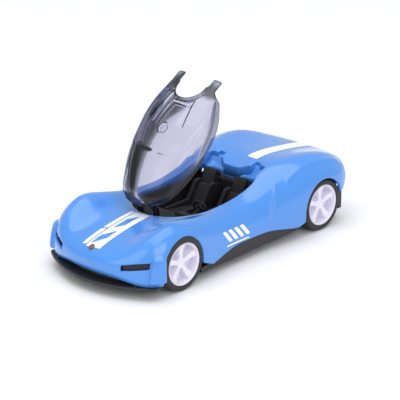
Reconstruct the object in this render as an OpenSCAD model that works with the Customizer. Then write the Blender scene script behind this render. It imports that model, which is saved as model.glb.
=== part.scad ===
// Pull back toy car with a front-hinged clear canopy.
// +X is forward, +Y is the car's left, +Z is up, and the origin is on the
// ground under the middle of the car. All sizes are in millimetres.

/* [Show] */
// which piece to draw

/* [Wheels] */
// distance between the two axles
wheelbase = 50.5; // [50:0.1:51]
// how far the front axle sits ahead of the middle of the car
front_axle_x = 24; // [23.8:0.1:24.2]
// outside radius of the rubber tyre
tyre_r = 6.6; // [6.3:0.05:6.7]
// radius where the tyre sits on the rim
rim_r = 5.35; // [5:0.05:5.5]
// width of a tyre along the axle
tyre_w = 4.8; // [4:0.1:5]
// distance from the middle of the car to the outside of a tyre
half_track = 17.4; // [17:0.1:17.6]
// number of spokes on a rim
spokes = 5; // [3:1:7]
// radius of the steel axles
axle_r = 0.8; // [0.7:0.05:0.9]
// radial gap between an axle and its bearing
axle_gap = 0.07; // [0.03:0.01:0.1]

/* [Body] */
// wall thickness of the die-cast body
body_wall = 1; // [0.8:0.1:1.2]
// radial room between the front wheel arch and the front axle centre
front_arch_r = 6.95; // [6.9:0.05:7.2]
// radial room between the rear wheel arch and the rear axle centre
rear_arch_r = 7.25; // [7:0.05:7.4]
// half width of the cockpit opening
cockpit_half_w = 10.2; // [9.8:0.1:10.4]

/* [Canopy] */
// wall thickness of the clear canopy
canopy_wall = 0.8; // [0.7:0.05:0.9]
// how far the canopy is swung open, in degrees
canopy_open = 41.8; // [0:0.1:41.8]
// radius of the hinge bar moulded on the canopy
hinge_bar_r = 0.6; // [0.5:0.05:0.7]
// radial gap between the hinge bar and its saddles
hinge_gap = 0.06; // [0.03:0.01:0.1]

/* [Chassis] */
// underside of the floor above the ground
floor_z = 2; // [1.8:0.1:2.2]
// thickness of the floor
floor_t = 1.2; // [1:0.1:1.3]

/* [Motor] */
// gear module, the pitch diameter divided by the number of teeth
gear_m = 0.4; // [0.38:0.01:0.42]
// teeth on the axle pinion and on the small compound gear
pinion_teeth = 9; // [9:1:10]
// teeth on the large compound gear
compound_teeth = 18; // [18:1:20]
// teeth on the spring drum
drum_teeth = 22; // [22:1:24]
// number of turns in the mainspring
spring_turns = 4; // [3:1:5]
// wall thickness of the motor case
case_wall = 0.8; // [0.7:0.1:0.9]

/* [Hidden] */
rear_axle_x = front_axle_x - wheelbase;
axle_z = tyre_r;
hub_y = half_track - tyre_w / 2;
paint_blue = [0.42, 0.65, 1];
clear_grey = [0.72, 0.72, 0.8, 0.55];
black = [0.1, 0.1, 0.11];
dark_grey = [0.22, 0.21, 0.22];
white = [0.93, 0.92, 0.96];
steel = [0.72, 0.73, 0.75];

// ---------- curved skins ----------
// A skin is a uniform cubic B-spline surface. Each row of its net runs from
// the centreline out to the left edge, and the rows run from front to rear.

body_net = [
    // lower lip of the nose
    [[37.9, 0, 4.7], [37.7, 4.2, 4.7], [36.9, 8.4, 4.6], [35.9, 11.7, 3.9],
     [34.5, 14.4, 3.4], [32.8, 16.5, 3.4], [30.2, 17.5, 3.4], [25.4, 17.6, 3.4]],
    [[38.7, 0, 5.6], [38.4, 4.2, 5.6], [37.6, 8.4, 5.6], [36.5, 11.7, 5.0],
     [35.0, 14.5, 4.6], [33.2, 16.7, 4.6], [30.5, 17.7, 4.4], [25.4, 17.7, 4.2]],
    // foremost part of the nose
    [[39.1, 0, 7.2], [38.7, 4.2, 7.2], [37.8, 8.4, 7.2], [36.5, 11.7, 7.0],
     [34.9, 14.4, 6.8], [33.0, 16.6, 6.6], [30.4, 17.8, 6.2], [25.4, 17.7, 5.4]],
    [[38.6, 0, 8.8], [38.2, 4.2, 8.8], [37.3, 8.4, 8.9], [35.9, 11.6, 9.2],
     [34.3, 14.2, 9.4], [32.4, 16.6, 9.0], [30.0, 17.8, 8.2], [25.4, 17.8, 6.6]],
    // start of the hood and the front wings
    [[36.6, 0, 10.2], [36.3, 4.2, 10.2], [35.6, 8.3, 10.4], [34.5, 11.2, 11.6],
     [33.2, 14.0, 12.1], [31.3, 16.5, 11.4], [29.0, 17.8, 9.8], [25.4, 17.9, 7.4]],
    [[33.2, 0, 11.1], [33.0, 4.2, 11.1], [32.5, 8.2, 11.5], [31.7, 10.9, 13.6],
     [30.7, 13.8, 14.6], [29.1, 16.4, 13.6], [27.4, 17.8, 11.2], [25.2, 17.9, 8.0]],
    [[28.8, 0, 12.1], [28.7, 4.3, 12.0], [28.4, 8.2, 12.4], [27.9, 10.8, 15.0],
     [27.3, 13.7, 16.2], [26.4, 16.2, 14.8], [25.6, 17.8, 12.2], [24.8, 17.9, 8.4]],
    // over the front axle
    [[24.2, 0, 12.8], [24.2, 4.5, 12.7], [24.1, 8.3, 12.9], [23.9, 10.8, 15.2],
     [23.6, 13.5, 16.4], [23.4, 16.0, 15.0], [23.3, 17.7, 12.4], [23.3, 17.8, 7.6]],
    // cowl ahead of the cockpit
    [[19.0, 0, 13.4], [19.0, 4.8, 13.2], [19.0, 8.6, 13.1], [19.0, 10.9, 14.6],
     [18.9, 13.2, 15.4], [18.8, 15.6, 14.2], [18.8, 17.3, 11.4], [18.8, 17.6, 6.0]],
    [[13.5, 0, 13.8], [13.5, 5.4, 13.6], [13.5, 9.2, 13.2], [13.5, 11.3, 13.8],
     [13.5, 13.2, 13.9], [13.5, 15.2, 12.8], [13.5, 16.7, 9.8], [13.5, 17.2, 3.4]],
    // along the doors
    [[7.5, 0, 14.0], [7.5, 5.8, 13.8], [7.5, 9.8, 13.2], [7.5, 11.6, 13.3],
     [7.5, 13.1, 13.1], [7.5, 14.8, 12.0], [7.5, 16.2, 9.0], [7.5, 16.9, 2.6]],
    [[1.0, 0, 14.2], [1.0, 6.0, 14.0], [1.0, 10.0, 13.5], [1.0, 11.8, 13.3],
     [1.0, 13.2, 12.9], [1.0, 14.8, 11.8], [1.0, 16.2, 8.8], [1.0, 16.8, 2.4]],
    [[-5.0, 0, 15.0], [-5.0, 5.8, 14.8], [-5.0, 9.8, 14.4], [-5.0, 11.8, 14.3],
     [-5.0, 13.4, 13.8], [-5.0, 15.1, 12.2], [-5.0, 16.4, 9.0], [-5.0, 16.9, 2.4]],
    [[-11.0, 0, 16.4], [-11.0, 5.4, 17.0], [-11.0, 9.2, 17.2], [-11.0, 11.8, 16.7],
     [-11.0, 13.9, 15.4], [-11.0, 15.8, 13.2], [-11.0, 17.0, 9.6], [-11.0, 17.2, 2.6]],
    // front of the rear deck
    [[-16.5, 0, 18.2], [-16.5, 5.0, 18.4], [-16.5, 8.8, 18.8], [-16.5, 11.8, 18.4],
     [-16.5, 14.4, 16.8], [-16.5, 16.6, 14.2], [-16.5, 17.7, 10.2], [-16.5, 17.6, 3.4]],
    [[-22.0, 0, 18.1], [-22.0, 4.8, 18.2], [-22.0, 8.6, 18.8], [-22.0, 12.0, 19.3],
     [-22.0, 14.9, 18.0], [-22.0, 17.2, 15.2], [-22.0, 18.2, 11.2], [-22.0, 17.9, 5.4]],
    // over the rear axle
    [[-27.5, 0, 17.4], [-27.5, 4.8, 17.6], [-27.5, 8.6, 18.3], [-27.5, 12.2, 19.2],
     [-27.5, 15.1, 18.2], [-27.5, 17.4, 15.5], [-27.5, 18.3, 11.8], [-27.5, 18.0, 7.0]],
    [[-32.5, 0, 16.7], [-32.5, 4.8, 16.8], [-32.5, 8.6, 17.4], [-32.4, 12.2, 18.0],
     [-32.3, 14.9, 17.1], [-32.1, 17.1, 14.7], [-31.9, 18.1, 11.4], [-31.6, 17.9, 7.6]],
    // tail lip
    [[-37.2, 0, 16.0], [-37.0, 4.8, 16.0], [-36.7, 8.6, 16.2], [-36.3, 12.0, 16.3],
     [-35.8, 14.6, 15.4], [-35.0, 16.7, 13.4], [-34.2, 17.6, 10.8], [-33.6, 17.4, 7.4]],
    [[-40.6, 0, 15.0], [-40.3, 4.8, 15.0], [-39.8, 8.6, 15.0], [-39.1, 12.0, 14.8],
     [-38.3, 14.4, 14.0], [-36.9, 16.2, 12.2], [-35.4, 17.1, 10.0], [-34.4, 16.9, 7.6]],
    // upright rear face
    [[-39.2, 0, 13.2], [-39.0, 4.8, 13.2], [-38.7, 8.6, 13.2], [-38.4, 12.0, 12.9],
     [-37.9, 14.3, 12.2], [-36.8, 16.0, 11.0], [-35.6, 16.8, 9.4], [-34.6, 16.6, 7.8]],
    [[-39.2, 0, 11.0], [-39.1, 4.8, 11.0], [-38.9, 8.6, 11.0], [-38.7, 12.0, 10.9],
     [-38.2, 14.2, 10.6], [-37.0, 15.8, 10.0], [-35.9, 16.4, 9.1], [-34.8, 16.2, 7.9]],
    [[-38.4, 0, 9.0], [-38.3, 4.8, 9.0], [-38.2, 8.6, 9.0], [-38.0, 12.0, 9.0],
     [-37.5, 14.0, 9.0], [-36.6, 15.4, 8.9], [-35.8, 15.9, 8.8], [-34.9, 15.8, 8.0]],
];

canopy_net = [
    // front edge, down inside the cowl
    [[18.9, 0, 13.0], [18.8, 2.0, 13.0], [18.1, 4.1, 12.8], [17.1, 5.4, 12.7], [16.3, 6.4, 12.6]],
    [[18.2, 0, 14.3], [18.0, 2.4, 14.2], [17.0, 4.9, 13.9], [15.6, 6.9, 13.2], [14.8, 7.7, 12.4]],
    // windscreen
    [[15.8, 0, 15.9], [15.5, 2.9, 15.7], [14.4, 5.8, 15.0], [12.9, 8.0, 13.7], [12.2, 8.8, 12.3]],
    [[12.2, 0, 17.5], [11.9, 3.3, 17.3], [10.8, 6.5, 16.5], [9.5, 8.9, 14.8], [9.0, 9.5, 12.3]],
    [[8.0, 0, 18.8], [7.7, 3.5, 18.6], [6.9, 7.0, 17.8], [5.9, 9.5, 15.6], [5.5, 9.9, 12.3]],
    // roof
    [[3.5, 0, 19.7], [3.2, 3.6, 19.5], [2.6, 7.2, 18.8], [2.0, 9.8, 16.4], [1.6, 10.0, 12.4]],
    [[-1.0, 0, 20.2], [-1.2, 3.6, 20.0], [-1.6, 7.3, 19.3], [-2.0, 9.9, 17.0], [-2.4, 10.0, 12.9]],
    [[-5.0, 0, 20.0], [-5.2, 3.6, 19.9], [-5.4, 7.2, 19.3], [-5.8, 9.5, 17.4], [-6.0, 9.6, 13.8]],
    // tail of the canopy
    [[-8.6, 0, 19.6], [-8.8, 3.5, 19.5], [-9.0, 6.6, 19.0], [-9.0, 8.5, 17.7], [-9.0, 8.7, 15.2]],
    [[-12.2, 0, 18.9], [-12.2, 3.2, 18.9], [-12.2, 5.4, 18.7], [-12.2, 7.0, 18.2], [-12.2, 7.6, 17.2]],
];

function column_ends(row) =
    let (n = len(row) - 1)
    concat([[row[1].x, -row[1].y, row[1].z]], row, [2 * row[n] - row[n - 1]]);

// the net with one extra row and column all round, so the skin reaches its rim
function widened(net) =
    let (rows = [for (row = net) column_ends(row)], n = len(rows) - 1)
    concat([2 * rows[0] - rows[1]], rows, [2 * rows[n] - rows[n - 1]]);

function weights(t) =
    [pow(1 - t, 3), 3 * pow(t, 3) - 6 * t * t + 4, -3 * pow(t, 3) + 3 * t * t + 3 * t + 1, pow(t, 3)] / 6;

// the four-point blend of a list of points or of rows at parameter s
function blend(list, s) =
    let (i = max(0, min(floor(s), len(list) - 4)), w = weights(s - i))
    w[0] * list[i] + w[1] * list[i + 1] + w[2] * list[i + 2] + w[3] * list[i + 3];

function unit(v) = v / norm(v);

// halves the span between lo and hi until it closes on where test turns true
function turning_point(test, lo, hi, steps = 12) =
    steps == 0 ? lo :
    let (mid = (lo + hi) / 2)
    test(mid) ? turning_point(test, lo, mid, steps - 1) : turning_point(test, mid, hi, steps - 1);

function first_true(test, from, to, step) =
    from >= to ? to :
    test(min(from + step, to)) ? turning_point(test, from, min(from + step, to)) :
    first_true(test, from + step, to, step);

function smooth(t) = let (c = max(0, min(1, t))) c * c * (3 - 2 * c);

// one closed solid from a skin: left and right halves, each with an outer and
// an inner face, trimmed by the two edge functions; turned_rim(z) is how far
// the rim of an opening at height z turns down, and never less than the wall
module thick_skin(net, params, columns, inner_edge, outer_edge, wall, turned_rim) {
    wide = widened(net);
    rows = [for (u = params) blend(wide, u)];
    slopes = [for (u = params) blend(wide, u + 0.02) - blend(wide, u - 0.02)];
    starts = [for (row = rows) inner_edge(row)];
    ends = [for (row = rows) outer_edge(row)];
    count = len(params);
    side = count * (columns + 1);

    function outer_point(k, v) =
        let (p = blend(rows[k], v))
        v < 0.001 ? [p.x, 0, p.z] : p;
    function inner_point(k, v) =
        let (along = blend(slopes[k], v),
             across = blend(rows[k], v + 0.02) - blend(rows[k], v - 0.02),
             p = outer_point(k, v) - wall * unit(cross(across, along)))
        v < 0.001 ? [p.x, 0, p.z] : p;

    outer = [for (k = [0:count - 1]) for (j = [0:columns])
        outer_point(k, starts[k] + (ends[k] - starts[k]) * j / columns)];
    inner = [for (k = [0:count - 1]) for (j = [0:columns])
        let (v = starts[k] + (ends[k] - starts[k]) * j / columns, p = outer_point(k, v))
        j == 0 && v > 0 && turned_rim(p.z) > wall ? p - [0, 0, turned_rim(p.z)] : inner_point(k, v)];
    points = concat(outer, inner, [for (p = outer) [p.x, -p.y, p.z]], [for (p = inner) [p.x, -p.y, p.z]]);

    function quad(a, b, c, d, flip) = flip ? [[a, c, b], [a, d, c]] : [[a, b, c], [a, c, d]];
    function at(half, layer, k, j) = (2 * half + layer) * side + k * (columns + 1) + j;

    faces = [for (half = [0, 1]) let (flip = half == 1) each concat(
        [for (k = [0:count - 2]) for (j = [0:columns - 1]) each
            quad(at(half, 0, k, j), at(half, 0, k + 1, j), at(half, 0, k + 1, j + 1), at(half, 0, k, j + 1), flip)],
        [for (k = [0:count - 2]) for (j = [0:columns - 1]) each
            quad(at(half, 1, k, j), at(half, 1, k, j + 1), at(half, 1, k + 1, j + 1), at(half, 1, k + 1, j), flip)],
        [for (k = [0:count - 2]) each
            quad(at(half, 0, k, columns), at(half, 0, k + 1, columns),
                 at(half, 1, k + 1, columns), at(half, 1, k, columns), flip)],
        [for (k = [0:count - 2]) if (starts[k] + starts[k + 1] > 0) each
            quad(at(half, 0, k + 1, 0), at(half, 0, k, 0), at(half, 1, k, 0), at(half, 1, k + 1, 0), flip)],
        [for (j = [0:columns - 1]) each
            quad(at(half, 0, 0, j), at(half, 0, 0, j + 1), at(half, 1, 0, j + 1), at(half, 1, 0, j), flip)],
        [for (j = [0:columns - 1]) each
            quad(at(half, 0, count - 1, j + 1), at(half, 0, count - 1, j),
                 at(half, 1, count - 1, j), at(half, 1, count - 1, j + 1), flip)]
    )];
    polyhedron(points = points, faces = faces, convexity = 10);
}

// ---------- trims of the body ----------
function in_arch(p, x, r) = abs(p.x - x) < r && (p.z < axle_z || norm([p.x - x, p.z - axle_z]) < r);

// lower edge of the painted side between the wheels
function sill_z(x) = 3.5 + 2.2 * smooth((17 - x) / 14) - 2 * smooth((-5 - x) / 14);

function below_body(p) =
    in_arch(p, front_axle_x, front_arch_r) || in_arch(p, rear_axle_x, rear_arch_r) ? true :
    p.x > front_axle_x ? false :
    p.x < rear_axle_x ? p.z < 8.6 :
    p.z < sill_z(p.x);

function body_lower_edge(row) = first_true(function (v) below_body(blend(row, v)), 3, 7, 0.2);

// half width of the cockpit opening at a distance along the car
function cockpit_w(x) =
    x > 19.4 || x < -13.8 ? 0 :
    x > 8 ? cockpit_half_w * sqrt(1 - pow((x - 8) / 11.4, 2)) :
    x > -6 ? cockpit_half_w :
    cockpit_half_w * sqrt(1 - pow((-6 - x) / 7.8, 3));

function cockpit_edge(row) =
    let (w = cockpit_w(blend(row, 0).x))
    w <= 0 ? 0 : turning_point(function (v) blend(row, v).y > w, 0, 5, 16);

// where the lower edge of the skin passes a wheel arch's upright side
function param_at_x(x, from, to) =
    let (wide = widened(body_net))
    turning_point(function (u) blend(blend(wide, u), 6).x < x, from, to, 16);

function sorted(list) =
    len(list) < 2 ? list :
    let (pivot = list[floor(len(list) / 2)])
    concat(sorted([for (v = list) if (v < pivot) v]), [pivot], sorted([for (v = list) if (v > pivot) v]));

arch_params = [for (x = [front_axle_x - front_arch_r, rear_axle_x + rear_arch_r])
    let (u = param_at_x(x, 7, 16)) each [u - 0.015, u + 0.015]];
// the cockpit's two ends close quickly, so they get stations of their own
body_params = sorted(concat([for (i = [0:72]) i * 22 / 72], arch_params,
    [for (x = [19.2, 18.9, 18.3, -12.6, -13.4, -13.7]) param_at_x(x, 7, 16)]));

// ---------- small helpers ----------
// a flat outline drawn in X and Z, made solid from y0 to y1
module along_y(y0, y1) {
    translate([0, y1, 0]) rotate([90, 0, 0]) linear_extrude(y1 - y0) children();
}

module rod_y(x, z, r, y0, y1) {
    along_y(y0, y1) translate([x, z]) circle(r, $fn = 48);
}

module both_sides() {
    children();
    mirror([0, 1, 0]) children();
}

// ---------- body ----------
// a short casting web that joins two round posts
module web(a, b, r) {
    hull() {
        translate(a) sphere(r, $fn = 12);
        translate(b) sphere(r, $fn = 12);
    }
}

front_screw_x = 30.4;
rear_screw_x = -33;
// height that the turned-down rim of the cockpit reaches
cockpit_rim_z = 12.2;

module screw_post(x, top) {
    translate([x, 0, 4.4]) cylinder(r = 1.7, h = top - 4.4, $fn = 24);
    for (a = [45:90:315])
        web([x + 1.2 * cos(a), 1.2 * sin(a), top - 3], [x + 3 * cos(a), 3 * sin(a), top - 0.3], 0.4);
}

module body_shell() {
    color(paint_blue) difference() {
        union() {
            thick_skin(body_net, body_params, 13, function (row) cockpit_edge(row),
                       function (row) body_lower_edge(row), body_wall,
                       function (z) min(2.6, z - cockpit_rim_z));
            screw_post(front_screw_x, 11);
            screw_post(rear_screw_x, 16.2);
            // tongue of the rear deck between the two prong notches
            hull() {
                translate([-14.6, -3.9, 16.6]) cube([0.4, 7.8, 1.2]);
                translate([-12.4, -3.2, 15.2]) cube([0.8, 6.4, 0.7]);
            }
            // step behind the seats that the canopy closes on
            hull() {
                translate([-15.2, -9.2, 13.2]) cube([1, 18.4, 0.9]);
                translate([-12.6, -8.6, 13.2]) cube([0.9, 17.2, 0.9]);
            }
            // ramp that rises from the step to the deck, under the notches
            hull() {
                translate([-15.3, -9.2, 15.9]) cube([0.7, 18.4, 1]);
                translate([-13.3, -9.2, 13.6]) cube([0.8, 18.4, 0.5]);
            }
            translate([-15.1, -9.2, 16.2]) cube([0.5, 18.4, 1.4]);
            translate([-14.6, -3.9, 13.8]) cube([2.2, 7.8, 3]);
        }
        both_sides() {
            // notches in the rear deck for the tail of the canopy
            translate([-14.4, 4, 16.95]) cube([5, 5, 3]);
            translate([-12.6, 4, 14.2]) cube([3, 5, 4]);
            // slots that the tips of the canopy prongs snap into
            translate([-15.5, 4.4, 16.4]) cube([1.2, 2.6, 3]);
            intake_cut();
            wheel_well(front_axle_x, front_arch_r - 0.03);
            wheel_well(rear_axle_x, rear_arch_r - 0.03);
        }
        for (x = [front_screw_x, rear_screw_x])
            translate([x, 0, 3]) cylinder(r = 0.75, h = 6.5, $fn = 24);
    }
}

// slanted air intake in the corner of the nose, seen from the front
module intake_cut() {
    translate([30.5, 0, 0]) rotate([90, 0, 90]) linear_extrude(9)
        polygon([[9.2, 6.4], [9.2, 8.4], [12.5, 9.1], [15.2, 9.4], [15.2, 7.4]]);
}

// room for a wheel, inside the wall of the body
module wheel_well(x, r) {
    rod_y(x, axle_z, r, 12, 18.5);
    translate([x - r, 12, 0]) cube([2 * r, 6.5, axle_z]);
}

// ---------- canopy ----------
hinge = [24.6, 10.6];
notch_x = -7.6;
prong_tip_x = -15.1;

function notch_w(x) = x > notch_x ? 0 : 4.4 * sqrt(1 - pow(1 - min(1, (notch_x - x) / 4.4), 2));

function notch_edge(row) =
    let (w = notch_w(blend(row, 0).x))
    w <= 0 ? 0 : turning_point(function (v) blend(row, v).y > w, 0, 4, 14);

canopy_params = sorted(concat([for (i = [0:36]) i * 9 / 36], [7.76, 7.79, 7.83, 7.9]));

module gooseneck() {
    along_y(-0.55, 0.55)
        polygon([[24.9, 11.1], [24.3, 11.1], [20.7, 7.6], [18.7, 7.5], [17.7, 9.2], [17.9, 13.2],
                 [17.1, 13.9], [16.6, 9.0], [18.0, 6.4], [21.1, 6.4], [25.1, 10.3]]);
}

module prong() {
    along_y(4.7, 6.7)
        polygon([[-11.6, 18.0], [prong_tip_x, 17.2], [prong_tip_x, 18.0], [-11.6, 18.8]]);
}

module canopy() {
    color(clear_grey)
    translate([hinge.x, 0, hinge.y]) rotate([0, canopy_open, 0]) translate([-hinge.x, 0, -hinge.y])
    union() {
        thick_skin(canopy_net, canopy_params, 10, function (row) notch_edge(row),
                   function (row) 4, canopy_wall, function (z) 0);
        both_sides() prong();
        both_sides() translate([0, 2.6, 0]) gooseneck();
        rod_y(hinge.x, hinge.y, hinge_bar_r, -6.3, 6.3);
    }
}

// ---------- interior ----------
tub_front_x = 16.2;
tub_rear_x = -11.7;
tub_half_w = 11.5;

module seat_side(y) {
    // cushion, backrest and headrest in side view
    along_y(y - 2.7, y + 2.7)
        polygon([[-9.2, 4], [4.2, 4], [4.6, 7.2], [3.6, 7.8], [-4.6, 6.6], [-7.6, 11.6], [-9.4, 12.0],
                 [-10.9, 11.6]]);
    along_y(y - 1.8, y + 1.8)
        polygon([[-7.9, 11], [-9.3, 14.6], [-9.8, 15.2], [-10.5, 15.1], [-10.7, 11]]);
    for (s = [-1, 1])
        along_y(y + s * 2.4 - 0.5, y + s * 2.4 + 0.5)
            polygon([[-8.6, 4], [4, 4], [4.2, 8.2], [-3.8, 8.2], [-6.6, 12.4], [-8.4, 12.6]]);
}

module hinge_saddle() {
    difference() {
        along_y(4.7, 6.1)
            polygon([[tub_front_x - 0.4, 7.6], [tub_front_x - 0.4, 11.2], [25.8, 11.2], [25.8, 9.6],
                     [24, 9.2], [20, 8.4]]);
        rod_y(hinge.x, hinge.y, hinge_bar_r + hinge_gap, 4, 7);
        translate([hinge.x - 0.45, 4, hinge.y]) cube([0.9, 3, 2]);
    }
}

module interior_tub() {
    color(black) difference() {
        union() {
            difference() {
                translate([tub_rear_x, -tub_half_w, floor_z + floor_t])
                    cube([tub_front_x - tub_rear_x, 2 * tub_half_w, 8.6]);
                translate([tub_rear_x + 0.8, -tub_half_w + 0.8, 4])
                    cube([tub_front_x - tub_rear_x - 1.6, 2 * tub_half_w - 1.6, 10]);
            }
            // raised back that closes the gap under the step of the body
            translate([tub_rear_x, -9.2, 11]) cube([0.8, 18.4, 1.95]);
            seat_side(4.9);
            seat_side(-4.9);
            // centre console
            along_y(-1.5, 1.5)
                polygon([[-10, 3.9], [12, 3.9], [12, 8.6], [8, 8.2], [2, 6.6], [-8, 6.8], [-10, 9]]);
            // dashboard
            along_y(-tub_half_w + 0.4, tub_half_w - 0.4)
                polygon([[15.6, 7.6], [15.6, 11.4], [12.4, 11.5], [9.2, 10.6], [8.8, 9.6], [9.8, 8.4], [12, 7.6]]);
            // driver's binnacle
            along_y(2.9, 6.9) polygon([[12, 11], [11.6, 12], [9, 11.5], [8.8, 10.4]]);
            both_sides() hinge_saddle();
        }
        // socket for the steering column
        translate([9.6, 4.9, 10]) rotate([0, -72, 0]) cylinder(r = 0.4, h = 4, center = true, $fn = 24);
    }
}

module steering_wheel() {
    color(dark_grey) translate([4.9, 4.9, 11.5]) rotate([0, -72, 0]) {
        rotate_extrude($fn = 48) translate([2, 0]) circle(0.32, $fn = 24);
        translate([0, 0, -0.35]) cylinder(r = 0.75, h = 0.6, $fn = 32);
        for (a = [90, 210, 330]) rotate(a) translate([0.4, -0.3, -0.25]) cube([1.5, 0.6, 0.4]);
        translate([0, 0, -4.6]) cylinder(r = 0.4, h = 4.4, $fn = 24);
    }
}

// ---------- chassis ----------
function splitter_x(y) = 39.7 - 0.0212 * y * y;

splitter_edge = [for (i = [0:20]) let (y = -17 + 1.7 * i) [splitter_x(y), y]];

skirt_top = [for (i = [0:12]) let (x = 16.9 - i * 3) [x, sill_z(x) - 0.35]];

module skirt() {
    along_y(13.6, 16.1) polygon(concat([[-19.1, floor_z + 0.2], [16.9, floor_z - 0.1]], skirt_top));
}

module floor_outline() {
    polygon([[33.5, 10.5], [16.9, 10.5], [16.9, 14.5], [-19, 14.5], [-19, 11.2], [-36, 11.2],
             [-36, -11.2], [-19, -11.2], [-19, -14.5], [16.9, -14.5], [16.9, -10.5], [33.5, -10.5]]);
}

module axle_stand() {
    difference() {
        translate([22.4, 7.4, floor_z + 0.6]) cube([3.2, 1.6, 5.6]);
        rod_y(front_axle_x, axle_z, axle_r + axle_gap, 7, 10);
        translate([front_axle_x - 0.6, 7, axle_z]) cube([1.2, 3, 3]);
    }
}

module motor_cradle() {
    difference() {
        translate([-29, 5.7, floor_z + 0.6]) cube([17, 1, 6]);
        translate([rear_axle_x - 1.2, 5, 5]) cube([2.4, 2, 6]);
    }
}

module bumper_outline(inset) {
    rear = [for (i = [0:12]) let (y = -15.2 + inset + i * (30.4 - 2 * inset) / 12) [-38.4 + inset + 0.0085 * y * y, y]];
    polygon(concat(rear, [[-35.2, 15.2 - inset], [-35.2, -15.2 + inset]]));
}

module chassis_base() {
    color(black) difference() {
        union() {
            translate([0, 0, floor_z]) linear_extrude(floor_t) floor_outline();
            // splitter and the dark wall above it
            translate([0, 0, 2.6]) linear_extrude(0.7)
                polygon(concat(splitter_edge, [[31.3, 17], [31.3, -17]]));
            translate([0, 0, 2.4]) linear_extrude(4.2)
                intersection() {
                    difference() {
                        translate([-3.2, 0]) polygon(concat(splitter_edge, [[30, 17], [30, -17]]));
                        translate([-4.1, 0]) polygon(concat(splitter_edge, [[30, 17], [30, -17]]));
                    }
                    translate([30, -12.5]) square([10, 25]);
                }
            both_sides() {
                skirt();
                axle_stand();
                motor_cradle();
                // fin on the splitter
                translate([0, 12.6, 0]) along_y(-0.3, 0.3)
                    polygon([[33.4, 3.3], [36, 3.3], [34.4, 4.3], [33.4, 4.3]]);
                // rear lower bumper legs
                translate([-36, 6, floor_z]) cube([0.8, 1.2, 4]);
                // wall between the rear wheel and the tail
                translate([-35.6, 9.8, 2.6]) cube([0.9, 4.4, 7.2]);
            }
            // posts that carry the two body screws
            for (x = [front_screw_x, rear_screw_x])
                translate([x, 0, floor_z]) cylinder(r = 2.4, h = 2.4, $fn = 48);
            // rear bumper, open at the front
            difference() {
                translate([0, 0, 2.6]) linear_extrude(5.2) bumper_outline(0);
                translate([1.2, 0, 3.6]) linear_extrude(3.2) bumper_outline(1.1);
                for (y = [-9, -5.4, -1.8, 1.8, 5.4, 9])
                    translate([-39, y - 1.2, 1]) cube([2.4, 2.4, 4.4]);
            }
        }
        // window for the motor
        translate([-26.8, -5.7, 1]) cube([14.8, 11.4, 2.4]);
        for (x = [front_screw_x, rear_screw_x]) {
            translate([x, 0, 1]) cylinder(r = 0.9, h = 6, $fn = 32);
            translate([x, 0, 1]) cylinder(r = 1.6, h = 2.1, $fn = 32);
        }
    }
}

// one dark strip behind both intakes, standing on the front wall of the chassis
function insert_x(y) = 35.4 - 0.0175 * y * y;

module insert_band(depth, out) {
    linear_extrude(depth) polygon(concat(
        [for (y = [-14:1:14]) [insert_x(y) + out, y]],
        [for (y = [14:-1:-14]) [insert_x(y) - 0.9, y]]));
}

module front_intake_insert() {
    color(black) {
        translate([0, 0, 6.6]) insert_band(2.2, 0);
        // two louvres
        for (z = [7.1, 8.1]) translate([0, 0, z]) insert_band(0.3, 0.5);
    }
}

// ---------- wheels ----------
module wheel_place(x, left) {
    translate([x, 0, axle_z]) mirror([0, left ? 0 : 1, 0]) translate([0, half_track, 0]) rotate([-90, 0, 0]) children();
}

module spoke() {
    linear_extrude(1.5) polygon([[1, -0.9], [1.6, -0.75], [4.9, -1.15], [4.9, 1.15], [1.6, 0.75], [1, 0.9]]);
}

// local Z runs out along the axle and zero is the outside face of the tyre
module rim() {
    color(white) difference() {
        union() {
            rotate_extrude($fn = 96)
                polygon([[4.3, -4.4], [rim_r, -4.4], [rim_r, -0.35], [5.1, -0.15], [4.85, -0.3], [4.6, -1.6], [4.3, -1.9]]);
            translate([0, 0, -3.2]) cylinder(r = 4.5, h = 0.8, $fn = 96);
            translate([0, 0, -4.4]) cylinder(r = 1.45, h = 3.5, $fn = 64);
            for (i = [0:spokes - 1]) rotate(90 + i * 360 / spokes) translate([0, 0, -2.5]) spoke();
        }
        translate([0, 0, -5]) cylinder(r = axle_r, h = 3.6, $fn = 48);
    }
}

module tyre() {
    color(black) rotate_extrude($fn = 96)
        polygon([[rim_r, -tyre_w + 0.2], [5.8, -tyre_w], [6.3, -tyre_w + 0.15], [tyre_r, -tyre_w + 0.6],
                 [tyre_r, -0.6], [6.3, -0.15], [5.8, 0], [rim_r, -0.2]]);
}

module rim_front_left() { wheel_place(front_axle_x, true) rim(); }
module rim_front_right() { wheel_place(front_axle_x, false) rim(); }
module rim_rear_left() { wheel_place(rear_axle_x, true) rim(); }
module rim_rear_right() { wheel_place(rear_axle_x, false) rim(); }
module tyre_front_left() { wheel_place(front_axle_x, true) tyre(); }
module tyre_front_right() { wheel_place(front_axle_x, false) tyre(); }
module tyre_rear_left() { wheel_place(rear_axle_x, true) tyre(); }
module tyre_rear_right() { wheel_place(rear_axle_x, false) tyre(); }

axle_end = half_track - 1.4;

module front_axle() {
    color(steel) rod_y(front_axle_x, axle_z, axle_r, -axle_end, axle_end);
}

module rear_axle() {
    color(steel) rod_y(rear_axle_x, axle_z, axle_r, -axle_end, axle_end);
}

// ---------- pull back motor ----------
// centres in X and Z; the compound gear sits between the axle and the drum
compound_at = [-23.2, 10.9];
drum_at = [-17.8, 7.9];
axle_at = [rear_axle_x, axle_z];

function involute(a) = tan(a) * 180 / PI - a;

// half the angle of a tooth at radius r, thinned for backlash
function tooth_half(teeth, r) =
    let (pitch = gear_m * teeth / 2, base = pitch * cos(20), spread = r > base ? acos(base / r) : 0)
    90 / teeth - 0.07 / pitch * 180 / PI + involute(20) - involute(spread);

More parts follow.
